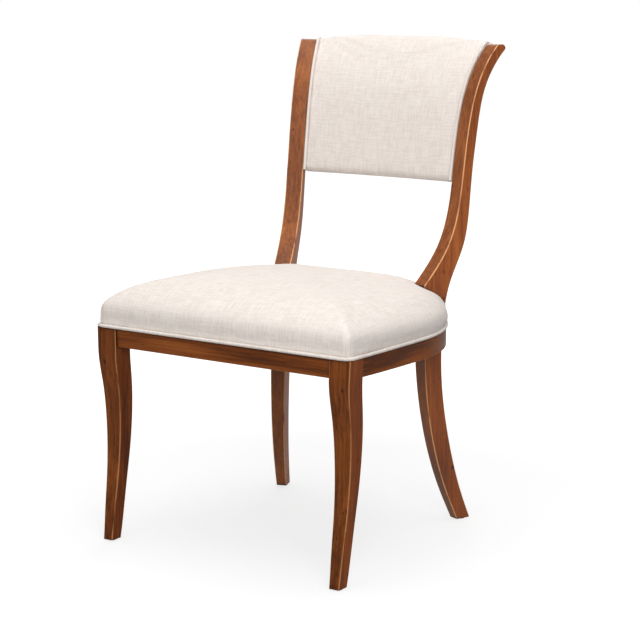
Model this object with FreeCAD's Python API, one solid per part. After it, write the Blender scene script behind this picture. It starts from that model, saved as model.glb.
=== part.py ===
"""Klismos dining chair: sabre front legs, sawn S-curved rear posts, bowed seat frame,
a crowned seat over webbing, and a padded concave back that rolls over at the top.

Millimetres, +Z up. The chair faces -Y and +X is on the right when it is seen from the front.
It is drawn with the front legs' upper face near y = 0, and moved at the end so that the
origin is on the floor under the middle of the whole chair.
"""
import FreeCAD, Part
import math
import os

V = FreeCAD.Vector
X_AXIS = V(1, 0, 0)
Z_AXIS = V(0, 0, 1)
Y_AXIS = V(0, 1, 0)

# Seat frame
SEAT_RAIL_TOP = 411.0
RAIL_HEIGHT = 36.0
RAIL_THICKNESS = 22.0
RAIL_EDGE_ROUND = 1.5
FRONT_RAIL_SETBACK = 2.0
SIDE_RAIL_START_X = 278.0
SIDE_RAIL_START_Y = 38.0
SEAT_HALF_WIDTH = 290.2
SEAT_CORNER_RADIUS = 12.0
HIP_ARC_RADIUS = 282.0
HIP_ARC_CENTRE_Y = 231.5
HIP_ARC_ANGLE = 34.4
REAR_CORNER_RADIUS = 40.0
SEAT_BACK_Y = 484.0
REAR_JOINT_X = 140.0

# Front legs: side outline from the floor up, outer faces leaning out towards the top
LEG_FOOT_OUTER_X = 269.6
LEG_LEAN_DEG = 2.1
LEG_FOOT_WIDTH = 20.5
LEG_TOP_WIDTH = 44.0
LEG_KNEE_Z = 370.0
LEG_FRONT_EDGE = [(-17.0, -15), (-14.1, 0), (-5.8, 60), (3.5, 121), (9.4, 182), (10.2, 242),
                  (4.9, 303), (-2.6, 350), (-3.4, LEG_KNEE_Z)]
LEG_BACK_EDGE = [(8.6, -15), (12.4, 0), (23.0, 60), (32.4, 121), (41.6, 182), (46.4, 242),
                 (45.4, 303), (40.6, 350), (39.6, LEG_KNEE_Z)]
LEG_TOP_FRONT_Y = -1.6
EDGE_ROUND = 2.2

# Rear posts: one sawn board each, leg and stile in one sweep, turned in plan and canted in
POST_PLAN_TURN = 21.0
POST_CANT = 1.72
POST_FLOOR_X = 191.9
POST_FLOOR_Y = 409.4
POST_WIDTH = 34.0
POST_FOOT_WIDTH = 21.0
POST_TAPER_START_Z = 358.0
POST_SHOULDER_Z = 474.0
POST_LEG_FRONT = [(83.5, -15), (77.0, 0), (50.4, 60), (29.2, 121), (11.0, 202), (1.6, 283), (0.0, 340)]
POST_LEG_BACK = [(115.0, -15), (109.0, 0), (86.0, 60), (68.0, 121), (51.0, 202), (41.6, 283)]
POST_STILE_FRONT = [(0.0, POST_SHOULDER_Z), (27.0, 503), (57.8, 545), (81.5, 605), (96.2, 686),
                    (109.4, 767), (132.0, 848), (152.3, 888), (181.0, 924.5)]
POST_STILE_BACK = [(41.8, POST_TAPER_START_Z), (48.5, 420), (63.0, POST_SHOULDER_Z), (96.8, 545),
                   (110.0, 605), (119.4, 686), (132.4, 767), (153.0, 848), (176.5, 888), (200.6, 915.5)]
POST_SCROLL_TOP = (193.0, 926.5)
SCROLL_NOSE = (199.8, 923.0)

# Glides under the four feet
GLIDE_THICKNESS = 2.0
GLIDE_RADIUS = 8.0
GLIDE_PIN_RADIUS = 1.2
GLIDE_PIN_LENGTH = 14.0

# Seat
BOARD_THICKNESS = 12.0
BOARD_RING_WIDTH = 62.0
BOARD_GAP = 0.2
STRAP_WIDTH = 50.0
STRAP_THICKNESS = 1.5
STRAP_GAP = 22.0
STRAPS_ALONG = 4
STRAPS_ACROSS = 5
STRAP_MIDDLE_Y = 214.0
STRAP_END_MARGIN = 26.0
DUST_COVER_THICKNESS = 1.0
DUST_COVER_GAP = 0.5
COVER_THICKNESS = 1.6
CUSHION_SET_IN = 3.0
CUSHION_CORNER_RADIUS = 10.0
CUSHION_FRONT_Y = -3.0
CUSHION_FRONT_X = 281.6
CUSHION_SHOULDER_Z = 433.0
CUSHION_TOP_Z = 509.0
CUSHION_SIDE_BULGE = 10.0
CUSHION_CORNER_BULGE = 4.5
BULGE_HALFWAY = 0.8
CUSHION_BACK_TILT = 1.5
CROWN_POWER = 2.25
CROWN_ANGLES = [8, 16, 25, 35, 46, 58, 70, 80, 87]
SEAT_WELT_RADIUS = 3.2
WELT_GAP = 0.2

# Back panel, described by side sections across the chair
PANEL_BOTTOM_Z = 661.0
PANEL_CREST_Z = 940.0
PANEL_THICKNESS = 22.0
PANEL_HOLLOW = 13.0
PANEL_CROWN = 4.0
PANEL_END_RECESS = 3.2
PANEL_END_DROP = 11.0
PANEL_ROLL_RADIUS = 13.0
PANEL_ROLL_LEAN = 36.0
PANEL_LOWER_ROUND = 8.0
PANEL_SIDE_GAP = 0.3
PANEL_STATIONS = [-222, -190, -160, -80, 0, 80, 160, 190, 222]
PANEL_HEIGHTS = [725, 785, 840, 880]
BACK_WELT_RADIUS = 2.8
BACK_WELT_GAP = 0.4
WELT_HEIGHTS = [664, 715, 767, 808, 848, 880]
WELT_ROLL_TURNS = [180 - PANEL_ROLL_LEAN, 115, 90, 60]
FRAME_INSET = 5.0
BACK_FRAME_THICKNESS = 10.0
BACK_BOARD_THICKNESS = 4.0
LOWER_RAIL_HEIGHT = 52.0
LOWER_RAIL_LIFT = 5.0
CREST_RAIL_HEIGHT = 58.0
CREST_RAIL_TOP_Z = 908.0
REAR_COVER_TOP_Z = 880.0

# Fasteners
DOWEL_RADIUS = 4.0
DOWEL_LENGTH = 32.0
DOWEL_SPACING = 16.0
BACK_DOWEL_RADIUS = 3.0
BACK_DOWEL_LENGTH = 26.0
BACK_DOWEL_IN_POST = 12.0
BLOCK_HEIGHT = 24.0
FRONT_BLOCK_WIDTH = 62.0
FRONT_BLOCK_DEPTH = 72.0
REAR_BLOCK_WIDTH = 37.0
REAR_BLOCK_DEPTH = 44.0
SEAT_SCREW_FROM_SIDE = 38.0
SEAT_SCREW_FROM_RAIL = 10.0
SEAT_SCREW_FROM_JOINT = 22.0
SCREW_RADIUS = 2.2
SCREW_HEAD_RADIUS = 4.2
SCREW_HEAD_HEIGHT = 2.4
SEAT_SCREW_LENGTH = 32.0
BLOCK_SCREW_LENGTH = 40.0
POST_SCREW_LENGTH = 56.0
POST_SCREW_X = 168.0
POST_SCREW_SINK = 5.0
HOLE_CLEARANCE = 0.15
HEAD_CLEARANCE = 0.5

# Cutting shapes: well beyond the chair, and the spare length that they trim off
FAR = 1500.0
SPARE = 20.0

RAIL_BOTTOM = SEAT_RAIL_TOP - RAIL_HEIGHT
BOARD_TOP = SEAT_RAIL_TOP + BOARD_THICKNESS
STRAPS_TOP = BOARD_TOP + 2 * STRAP_THICKNESS
BLOCK_BOTTOM = SEAT_RAIL_TOP - DUST_COVER_THICKNESS - BLOCK_HEIGHT
SEAT_HALF_DEPTH = (SEAT_BACK_Y - CUSHION_FRONT_Y) / 2


def smooth_edge(points):
    """One smooth curve in the (first, second) plane as an edge at x = 0."""
    curve = Part.BSplineCurve()
    curve.interpolate([V(0, a, b) for a, b in points])
    return curve.toShape()


def straight(a, b):
    return Part.LineSegment(V(*a), V(*b)).toShape()


def arc(a, middle, b):
    return Part.Arc(V(*a), V(*middle), V(*b)).toShape()


def prism(edges, direction):
    """Closes edges into a face and pushes it along a direction."""
    wire = Part.Wire(Part.__sortEdges__(edges))
    return Part.Face(wire).extrude(direction)


def polygon_prism(corners, direction):
    return Part.Face(Part.makePolygon([V(*c) for c in corners + corners[:1]])).extrude(direction)


def box(low, high):
    size = [b - a for a, b in zip(low, high)]
    return Part.makeBox(size[0], size[1], size[2], V(*low))


def mirrored(shape):
    return shape.mirror(V(0, 0, 0), V(1, 0, 0))


def rounded(shape, radius, wanted):
    """Rounds the edges that the test accepts."""
    edges = [edge for edge in shape.Edges if wanted(edge)]
    return shape.makeFillet(radius, edges)


def is_long(edge, shortest=60.0):
    return edge.Length > shortest


def taper_room(foot_width, full_width, low, full_from, top):
    """The front view of a leg's board: narrow at the foot, full width from a height upwards."""
    corners = [(0, low), (-foot_width, low), (-full_width, full_from), (-full_width, top), (0, top)]
    return polygon_prism([(x, -FAR, z) for x, z in corners], V(0, 2 * FAR, 0))


# Front legs
def front_leg_outline():
    """Side outline of the leg's board: sabre curve, knee and square top, with spare length."""
    top = SEAT_RAIL_TOP + SPARE
    front = smooth_edge(LEG_FRONT_EDGE)
    back = smooth_edge(LEG_BACK_EDGE)
    front_low, front_knee = LEG_FRONT_EDGE[0], LEG_FRONT_EDGE[-1]
    back_low, back_knee = LEG_BACK_EDGE[0], LEG_BACK_EDGE[-1]
    return [front, back,
            straight((0,) + front_low, (0,) + back_low),
            straight((0,) + front_knee, (0, LEG_TOP_FRONT_Y, top)),
            straight((0, LEG_TOP_FRONT_Y, top), (0, back_knee[0], top)),
            straight((0,) + back_knee, (0, back_knee[0], top))]


def front_leg():
    """Right front leg: the sawn side outline, tapered on its inner side, leaning out."""
    blank = prism(front_leg_outline(), V(-LEG_TOP_WIDTH - SPARE, 0, 0))
    low, top = LEG_FRONT_EDGE[0][1], SEAT_RAIL_TOP + SPARE
    leg = blank.common(taper_room(LEG_FOOT_WIDTH, LEG_TOP_WIDTH, low, LEG_KNEE_Z, top))
    leg = rounded(leg, EDGE_ROUND, is_long)
    leg.rotate(V(0, 0, 0), Y_AXIS, LEG_LEAN_DEG)
    leg.translate(V(LEG_FOOT_OUTER_X, 0, 0))
    return leg.common(box((0, -FAR, GLIDE_THICKNESS), (FAR, FAR, SEAT_RAIL_TOP)))


# Rear posts
def place_post(shape):
    """From the board's own plane to its place: canted in at the top, then turned in plan."""
    shape.rotate(V(0, 0, 0), Y_AXIS, -POST_CANT)
    shape.rotate(V(0, 0, 0), Z_AXIS, -POST_PLAN_TURN)
    shape.translate(V(POST_FLOOR_X, POST_FLOOR_Y, 0))
    return shape


def post_point(across, along, height):
    """Where a point of the board's own plane ends up."""
    return place_post(Part.Vertex(across, along, height)).Point


def post_outline():
    """Side outline: foot, sabre leg, square shoulder at the seat, swept stile, scrolled end."""
    leg_low, leg_high = POST_LEG_FRONT[0], POST_LEG_FRONT[-1]
    back_low = POST_LEG_BACK[0]
    back = smooth_edge(POST_LEG_BACK + POST_STILE_BACK)
    tip = POST_STILE_BACK[-1]
    return [smooth_edge(POST_LEG_FRONT), back,
            straight((0,) + leg_low, (0,) + back_low),
            straight((0,) + leg_high, (0,) + POST_STILE_FRONT[0]),
            smooth_edge(POST_STILE_FRONT),
            straight((0,) + POST_STILE_FRONT[-1], (0,) + POST_SCROLL_TOP),
            arc((0,) + POST_SCROLL_TOP, (0,) + SCROLL_NOSE, (0,) + tip)]


def rear_post(softened=True):
    """Right rear post. The unsoftened one cuts the notches that it passes through."""
    blank = prism(post_outline(), V(-POST_WIDTH - SPARE, 0, 0))
    low, top = POST_LEG_FRONT[0][1], PANEL_CREST_Z + SPARE
    post = blank.common(taper_room(POST_FOOT_WIDTH, POST_WIDTH, low, POST_TAPER_START_Z, top))
    if softened:
        post = rounded(post, EDGE_ROUND, is_long)
    place_post(post)
    return post.common(box((0, 0, GLIDE_THICKNESS), (FAR, FAR, FAR)))


# Seat outline
def seat_outline(side_x, front_y, corner, grow):
    """Named points of the right half of a seat plan, which may be grown at its sides and back.

    The side bows out to the hip arc, runs in straight past the post and turns into the back.
    """
    hip_r = HIP_ARC_RADIUS + grow
    hip_x = SEAT_HALF_WIDTH - HIP_ARC_RADIUS
    angle = math.radians(HIP_ARC_ANGLE)
    widest = (hip_x + hip_r, HIP_ARC_CENTRE_Y)
    hip_mid = (hip_x + hip_r * math.cos(angle / 2), HIP_ARC_CENTRE_Y + hip_r * math.sin(angle / 2))
    hip_end = (hip_x + hip_r * math.cos(angle), HIP_ARC_CENTRE_Y + hip_r * math.sin(angle))
    back_y = SEAT_BACK_Y + grow
    reach = hip_x * math.cos(angle) + HIP_ARC_CENTRE_Y * math.sin(angle) + hip_r
    meet_x = (reach - back_y * math.sin(angle)) / math.cos(angle)
    turn_r = REAR_CORNER_RADIUS + grow
    tangent = turn_r * math.tan((math.pi / 2 - angle) / 2)
    turn_start = (meet_x + tangent * math.sin(angle), back_y - tangent * math.cos(angle))
    turn_end = (meet_x - tangent, back_y)
    centre = (turn_end[0], back_y - turn_r)
    half = (math.pi / 2 + angle) / 2
    turn_mid = (centre[0] + turn_r * math.cos(half), centre[1] + turn_r * math.sin(half))
    cut_off = corner * (1 - math.sqrt(0.5))
    corner_mid = (side_x - cut_off, front_y + cut_off)
    chord_dx = widest[0] - side_x
    chord_dy = widest[1] - (front_y + corner)
    bow = (chord_dx ** 2 + chord_dy ** 2) / (2 * chord_dx)
    side_angle = math.asin(chord_dy / bow) / 2
    side_mid = (widest[0] - bow * (1 - math.cos(side_angle)), widest[1] - bow * math.sin(side_angle))
    return {"corner_start": (side_x - corner, front_y), "corner_mid": corner_mid,
            "corner_end": (side_x, front_y + corner),
            "side_mid": side_mid, "widest": widest, "hip_mid": hip_mid, "hip_end": hip_end,
            "turn_start": turn_start, "turn_mid": turn_mid, "turn_end": turn_end}


def outline_wire(plan, z, scale=1.0):
    """The closed wire of a plan at a height, scaled about the middle of the seat."""
    def at(name, side=1):
        x, y = plan[name]
        y = HIP_ARC_CENTRE_Y + (y - HIP_ARC_CENTRE_Y) * scale
        return V(side * x * scale, y, z)
    half = [("corner_start", "corner_mid", "corner_end"), ("corner_end", "side_mid", "widest"),
            ("widest", "hip_mid", "hip_end"), ("hip_end", None, "turn_start"),
            ("turn_start", "turn_mid", "turn_end")]
    edges = []
    for start, middle, end in half:
        if middle:
            edges.append(Part.Arc(at(start), at(middle), at(end)).toShape())
        else:
            edges.append(Part.LineSegment(at(start), at(end)).toShape())
    edges.append(Part.LineSegment(at("turn_end"), at("turn_end", -1)).toShape())
    for start, middle, end in reversed(half):
        if middle:
            edges.append(Part.Arc(at(end, -1), at(middle, -1), at(start, -1)).toShape())
        else:
            edges.append(Part.LineSegment(at(end, -1), at(start, -1)).toShape())
    edges.append(Part.LineSegment(at("corner_start", -1), at("corner_start")).toShape())
    return Part.Wire(edges)


def rail_plan(grow=0.0):
    return seat_outline(SIDE_RAIL_START_X + grow, -grow, SEAT_CORNER_RADIUS + grow, grow)


def cushion_plan(side_grow=0.0, corner_grow=0.0):
    """The cushion's plan at the welt, set in from the rails, or grown from there."""
    return seat_outline(CUSHION_FRONT_X + corner_grow, CUSHION_FRONT_Y - corner_grow,
                        CUSHION_CORNER_RADIUS + corner_grow, side_grow - CUSHION_SET_IN)


# Rails
def rail_ring():
    outer = Part.Face(outline_wire(rail_plan(), RAIL_BOTTOM)).extrude(V(0, 0, RAIL_HEIGHT))
    low_round = [edge for edge in outer.Edges
                 if abs(edge.BoundBox.ZMax - RAIL_BOTTOM) < 0.01]
    outer = outer.makeFillet(RAIL_EDGE_ROUND, low_round)
    inner = Part.Face(inside_rails(0, RAIL_BOTTOM)).extrude(V(0, 0, RAIL_HEIGHT))
    return outer.cut(inner)


def inside_rails(gap, z):
    """The rails' inner outline in plan, in two steps as its corners are square."""
    halfway = outline_wire(rail_plan(-RAIL_THICKNESS / 2), z)
    return halfway.makeOffset2D(-RAIL_THICKNESS / 2 - gap)


def side_rail(ring, leg, post):
    """Right side rail: from the front leg round the hip and the post to the joint at the back."""
    zone = box((REAR_JOINT_X, SIDE_RAIL_START_Y, 0), (FAR, FAR, FAR))
    return largest(ring.common(zone).cut(leg).cut(post))


def largest(shape):
    return max(shape.Solids, key=lambda solid: solid.Volume)


def front_rail(leg):
    reach = LEG_FOOT_OUTER_X
    rail = box((-reach, FRONT_RAIL_SETBACK, RAIL_BOTTOM),
               (reach, FRONT_RAIL_SETBACK + RAIL_THICKNESS, SEAT_RAIL_TOP))
    rail = rounded(rail, RAIL_EDGE_ROUND,
                   lambda edge: is_long(edge) and edge.BoundBox.ZMax < RAIL_BOTTOM + RAIL_EDGE_ROUND)
    return largest(rail.cut(leg).cut(mirrored(leg)))


def back_rail(ring, post):
    zone = box((-REAR_JOINT_X, HIP_ARC_CENTRE_Y, 0), (REAR_JOINT_X, FAR, FAR))
    return largest(ring.common(zone).cut(post).cut(mirrored(post)))


# Corner blocks
def front_block_face():
    """The open slanted face of the front block: its two ends in plan."""
    side_x = SIDE_RAIL_START_X - RAIL_THICKNESS
    rail_y = FRONT_RAIL_SETBACK + RAIL_THICKNESS
    return (side_x - FRONT_BLOCK_WIDTH, rail_y), (side_x, rail_y + FRONT_BLOCK_DEPTH)


def rear_block_face():
    """The open slanted face of the rear block: its two ends in plan."""
    rail_y = SEAT_BACK_Y - RAIL_THICKNESS
    return (REAR_JOINT_X, rail_y - REAR_BLOCK_DEPTH), (REAR_JOINT_X - REAR_BLOCK_WIDTH, rail_y)


def face_middle(face, z):
    (ax, ay), (bx, by) = face
    return (ax + bx) / 2, (ay + by) / 2, z


def face_normal(face):
    """Into the block, square to its slanted face."""
    (ax, ay), (bx, by) = face
    return by - ay, ax - bx, 0


def corner_block(face, outside_x):
    """A block from its slanted face out to a corner, before the frame is cut away from it."""
    a, b = face
    plan = [a, (outside_x, a[1]), (outside_x, b[1]), b]
    return polygon_prism([(x, y, BLOCK_BOTTOM) for x, y in plan], V(0, 0, BLOCK_HEIGHT))


def front_block(leg, ring):
    """Triangular glue block behind the right front leg, against both rails."""
    face = front_block_face()
    return largest(corner_block(face, face[1][0] + SPARE).cut(leg).cut(ring))


def rear_block(post, ring):
    """Glue block in the angle between the right rear post and the back rail."""
    face = rear_block_face()
    return largest(corner_block(face, face[0][0] + SPARE).cut(post).cut(ring))


def post_face_y(x, z):
    """The post's front face at a given x, at the height of the rails."""
    outer = post_point(0, 0, z)
    inner = post_point(-POST_WIDTH, 0, z)
    share = (outer.x - x) / (outer.x - inner.x)
    return outer.y + (inner.y - outer.y) * share


def front_foot_middle():
    depth = (LEG_FRONT_EDGE[1][0] + LEG_BACK_EDGE[1][0]) / 2
    return LEG_FOOT_OUTER_X - LEG_FOOT_WIDTH / 2, depth


def rear_foot_middle():
    along = (POST_LEG_FRONT[1][0] + POST_LEG_BACK[1][0]) / 2
    middle = post_point(-POST_FOOT_WIDTH / 2, along, 0)
    return middle.x, middle.y


# Fasteners
def rod(start, direction, length, radius):
    return Part.makeCylinder(radius, length, V(*start), V(*direction))


def screw(head, direction, length):
    """A round-head screw whose head's underside is at a point; the shank runs along a direction."""
    way = V(*direction).normalize()
    shank = Part.makeCylinder(SCREW_RADIUS, length, V(*head), way)
    cap = Part.makeCylinder(SCREW_HEAD_RADIUS, SCREW_HEAD_HEIGHT, V(*head), way * -1)
    return cap.fuse(shank)


def screw_room(head, direction, length, head_depth=0.0):
    """The hole that such a screw needs, with a sunk head where head_depth is given."""
    way = V(*direction).normalize()
    room = Part.makeCylinder(SCREW_RADIUS + HOLE_CLEARANCE, length, V(*head), way)
    if head_depth:
        head_r = SCREW_HEAD_RADIUS + HEAD_CLEARANCE
        room = room.fuse(Part.makeCylinder(head_r, head_depth, V(*head), way * -1))
    return room


def both_sides(shapes):
    return shapes + [mirrored(shape) for shape in shapes]


# Cushion
def cushion_form(inset):
    """The seat's upholstered form, drawn in by an inset: set in at the welt, a bulged side,
    then a crown that follows a power curve over to a nearly flat middle and leans back a little."""
    rise = CUSHION_TOP_Z - CUSHION_SHOULDER_Z
    welt_top = SEAT_RAIL_TOP + 2 * SEAT_WELT_RADIUS
    side = [(SEAT_RAIL_TOP, 0.0), (welt_top, 0.0),
            ((welt_top + CUSHION_SHOULDER_Z) / 2, BULGE_HALFWAY), (CUSHION_SHOULDER_Z, 1.0)]
    sections = [(height, 1.0, bulge) for height, bulge in side]
    for degrees in CROWN_ANGLES:
        turn = math.radians(degrees)
        sections.append((CUSHION_SHOULDER_Z + rise * math.sin(turn) ** (2 / CROWN_POWER),
                         math.cos(turn) ** (2 / CROWN_POWER), 1.0))
    wires = []
    for height, scale, bulge in sections:
        plan = cushion_plan(bulge * CUSHION_SIDE_BULGE, bulge * CUSHION_CORNER_BULGE)
        lowered = inset * (height - SEAT_RAIL_TOP) / (CUSHION_TOP_Z - SEAT_RAIL_TOP)
        wire = outline_wire(plan, height - lowered, scale - inset / SEAT_HALF_DEPTH)
        wire.rotate(V(0, HIP_ARC_CENTRE_Y, height), X_AXIS, -CUSHION_BACK_TILT * bulge)
        wires.append(wire)
    return Part.makeLoft(wires, True, True)


def above(z):
    return box((-FAR, -FAR, z), (FAR, FAR, FAR))


def seat_board(cutters):
    """Plywood ring on top of the rails, open in the middle for the webbing."""
    plan = cushion_plan()
    edge = outline_wire(plan, SEAT_RAIL_TOP, 1 - (COVER_THICKNESS + BOARD_GAP) / SEAT_HALF_DEPTH)
    opening = outline_wire(plan, SEAT_RAIL_TOP, 1 - BOARD_RING_WIDTH / SEAT_HALF_DEPTH)
    board = Part.Face(edge).extrude(V(0, 0, BOARD_THICKNESS))
    board = board.cut(Part.Face(opening).extrude(V(0, 0, BOARD_THICKNESS)))
    return cut_all(board, cutters)


def cut_all(shape, cutters):
    for cutter in cutters:
        shape = shape.cut(cutter)
    return largest(shape)


def strap_middles(count, middle):
    """Evenly spaced middles of a number of straps."""
    return [middle + (number - (count - 1) / 2) * (STRAP_WIDTH + STRAP_GAP) for number in range(count)]


def straps():
    """Two layers of webbing over the board: front to back, then side to side."""
    zone = Part.Face(outline_wire(cushion_plan(), BOARD_TOP, 1 - STRAP_END_MARGIN / SEAT_HALF_DEPTH))
    zone = zone.extrude(V(0, 0, 2 * STRAP_THICKNESS))
    half = STRAP_WIDTH / 2
    middle_z = BOARD_TOP + STRAP_THICKNESS
    lengthwise = [box((x - half, -FAR, BOARD_TOP), (x + half, FAR, middle_z)).common(zone)
                  for x in strap_middles(STRAPS_ALONG, 0)]
    crosswise = [box((-FAR, y - half, middle_z), (FAR, y + half, STRAPS_TOP)).common(zone)
                 for y in strap_middles(STRAPS_ACROSS, STRAP_MIDDLE_Y)]
    return lengthwise, crosswise


def dust_cover(cutters):
    """Thin cloth under the seat board, inside the rails."""
    edge = inside_rails(DUST_COVER_GAP, SEAT_RAIL_TOP - DUST_COVER_THICKNESS)
    return cut_all(Part.Face(edge).extrude(V(0, 0, DUST_COVER_THICKNESS)), cutters)


def tube(path, radius):
    """A round cord along a wire."""
    first = path.Edges[0]
    ring = Part.Wire(Part.makeCircle(radius, first.valueAt(first.FirstParameter),
                                     first.tangentAt(first.FirstParameter)))
    return path.makePipeShell([ring], True, False)


def seat_welt():
    """Piping round the cushion's lower edge, resting on the rails."""
    z = SEAT_RAIL_TOP + SEAT_WELT_RADIUS
    offset = SEAT_WELT_RADIUS + WELT_GAP
    whole = outline_wire(cushion_plan(offset, offset), z)
    corner = whole.Edges[0].valueAt(whole.Edges[0].FirstParameter)
    turn = whole.Edges[4].valueAt(whole.Edges[4].LastParameter)
    ends = [straight((0, corner.y, z), corner), straight(turn, (0, turn.y, z))]
    path = Part.Wire(ends[:1] + whole.Edges[:5] + ends[1:])
    half = tube(path, SEAT_WELT_RADIUS)
    return half.fuse(mirrored(half)).removeSplitter()


# Back panel
def stile_front_curve():
    curve = Part.BSplineCurve()
    curve.interpolate([V(0, a, b) for a, b in POST_STILE_FRONT])
    return curve


STILE_FRONT = stile_front_curve()


def stile_along(z):
    """Where the stile's front edge is, along the board, at a height."""
    low, high = STILE_FRONT.FirstParameter, STILE_FRONT.LastParameter
    for _ in range(50):
        middle = (low + high) / 2
        if STILE_FRONT.value(middle).z < z:
            low = middle
        else:
            high = middle
    return STILE_FRONT.value(low).y


def stile_inner_front(z):
    """The stile's inner front corner at a height, in the chair's frame."""
    return post_point(-POST_WIDTH, stile_along(z), z)


def panel_front_y(x, z, crown=PANEL_CROWN):
    """The back's front surface: hollow in plan between the stiles, with the pad's crown."""
    corner = stile_inner_front(z)
    middle = 1 - (x / corner.x) ** 2
    return corner.y + PANEL_END_RECESS + (PANEL_HOLLOW - crown) * middle


def panel_crest_z(x):
    half_width = stile_inner_front(PANEL_HEIGHTS[-1]).x
    return PANEL_CREST_Z - PANEL_END_DROP * min(1.0, abs(x) / half_width) ** 4


def arc_chain(points):
    """Arcs through the points as (start, middle, end), each running smoothly on from the last."""
    first_bend = Part.Arc(points[0], points[1], points[2]).toShape()
    way = first_bend.tangentAt(first_bend.FirstParameter)
    arcs = []
    for start, end in zip(points, points[1:]):
        chord = end - start
        length = chord.Length
        along = chord * (1 / length)
        across = (way - along * (way * along)).normalize()
        half_turn = math.atan2(way * across, way * along)
        middle = (start + end) * 0.5 + across * (length / 2 * math.tan(half_turn / 2))
        arcs.append((start, middle, end))
        way = along * (2 * (way * along)) - way
    return arcs


def backwards(arcs):
    return [(end, middle, start) for start, middle, end in reversed(arcs)]


def arc_edges(arcs):
    return [Part.Arc(start, middle, end).toShape() for start, middle, end in arcs]


def roll_centre(x):
    """Middle of the roll at the top of the back, which the front surface runs into."""
    lean = math.radians(PANEL_ROLL_LEAN)
    centre_z = panel_crest_z(x) - PANEL_ROLL_RADIUS
    touch_z = centre_z + PANEL_ROLL_RADIUS * math.sin(lean)
    touch_y = panel_front_y(x, PANEL_HEIGHTS[-1]) + (touch_z - PANEL_HEIGHTS[-1]) * math.tan(lean)
    return V(x, touch_y + PANEL_ROLL_RADIUS * math.cos(lean), centre_z)


def on_roll(centre, radius, degrees):
    turn = math.radians(degrees)
    return centre + V(0, radius * math.cos(turn), radius * math.sin(turn))


def panel_section(x, inset):
    """Closed side section of the padded back at x: up the front, over the roll, down the rear."""
    centre = roll_centre(x)
    touch, under = 180 - PANEL_ROLL_LEAN, PANEL_ROLL_LEAN / -2
    turns = [touch, (touch + 90) / 2, 90, (90 + under) / 2, under]
    rim = [on_roll(centre, PANEL_ROLL_RADIUS - inset, degrees) for degrees in turns]
    low = PANEL_BOTTOM_Z + inset
    heights = [low + PANEL_LOWER_ROUND] + PANEL_HEIGHTS
    front = [V(x, panel_front_y(x, z) + inset, z) for z in heights]
    rear = [V(x, panel_front_y(x, z, 0) + PANEL_THICKNESS - inset, z) for z in heights]
    edges = arc_edges(arc_chain(front + rim[:1]) + [tuple(rim[:3]), tuple(rim[2:])]
                      + backwards(arc_chain(rear + rim[-1:])))
    y0, y1 = front[0].y, rear[0].y
    cut_off = PANEL_LOWER_ROUND * (1 - math.sqrt(0.5))
    edges.append(arc(rear[0], (x, y1 - cut_off, low + cut_off), (x, y1 - PANEL_LOWER_ROUND, low)))
    edges.append(straight((x, y1 - PANEL_LOWER_ROUND, low), (x, y0 + PANEL_LOWER_ROUND, low)))
    edges.append(arc((x, y0 + PANEL_LOWER_ROUND, low), (x, y0 + cut_off, low + cut_off), front[0]))
    return Part.Wire(edges)


def between_stiles():
    """The space between the inner faces of the two posts."""
    inner = place_post(box((-FAR, -FAR, -FAR), (-POST_WIDTH - PANEL_SIDE_GAP, FAR, FAR)))
    return inner.common(mirrored(inner))


def panel_form(inset, space):
    form = Part.makeLoft([panel_section(x, inset) for x in PANEL_STATIONS], True, True)
    return largest(form.common(space))


def panel_layer(depth, thickness, z_low, z_high, space):
    """A hollow-curved board behind the front surface, between two heights."""
    heights = [z_low + (z_high - z_low) * share for share in (0, 0.25, 0.5, 0.75, 1)]
    sections = []
    for x in PANEL_STATIONS:
        front = [V(x, panel_front_y(x, z, 0) + depth, z) for z in heights]
        rear = [V(x, p.y + thickness, p.z) for p in front]
        edges = arc_edges(arc_chain(front)) + [straight(front[-1], rear[-1])]
        edges += arc_edges(backwards(arc_chain(rear))) + [straight(rear[0], front[0])]
        sections.append(Part.Wire(edges))
    return largest(Part.makeLoft(sections, True, True).common(space))


def back_dowels():
    """Pairs of dowels that carry the lower rail and the crest rail in the right post."""
    depth = PANEL_END_RECESS + FRAME_INSET + BACK_FRAME_THICKNESS / 2
    lower = PANEL_BOTTOM_Z + LOWER_RAIL_LIFT + LOWER_RAIL_HEIGHT / 2
    crest = CREST_RAIL_TOP_Z - CREST_RAIL_HEIGHT / 2
    pins = []
    for middle in (lower, crest):
        for z in (middle - DOWEL_SPACING / 2, middle + DOWEL_SPACING / 2):
            corner = stile_inner_front(z)
            face_x = corner.x + depth * math.tan(math.radians(POST_PLAN_TURN))
            pins.append(rod((face_x + BACK_DOWEL_IN_POST, corner.y + depth, z), (-1, 0, 0),
                            BACK_DOWEL_LENGTH, BACK_DOWEL_RADIUS))
    return pins


def on_board(across, point):
    """The place in the right post's own plane, at a distance across, that lies level with a point."""
    turn, cant = math.radians(POST_PLAN_TURN), math.radians(POST_CANT)
    height = (point.z - across * math.sin(cant)) / math.cos(cant)
    leaned = across * math.cos(cant) - height * math.sin(cant)
    along = (point.y - POST_FLOOR_Y + leaned * math.sin(turn)) / math.cos(turn)
    return V(across, along, height)


def on_end(across, surface):
    """Where a line of the back's surface, given as point(x), passes through the board's plane."""
    place = on_board(across, surface(PANEL_STATIONS[-1]))
    for _ in range(5):
        x = post_point(place.x, place.y, place.z).x
        place = on_board(across, surface(x))
    return place


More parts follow.
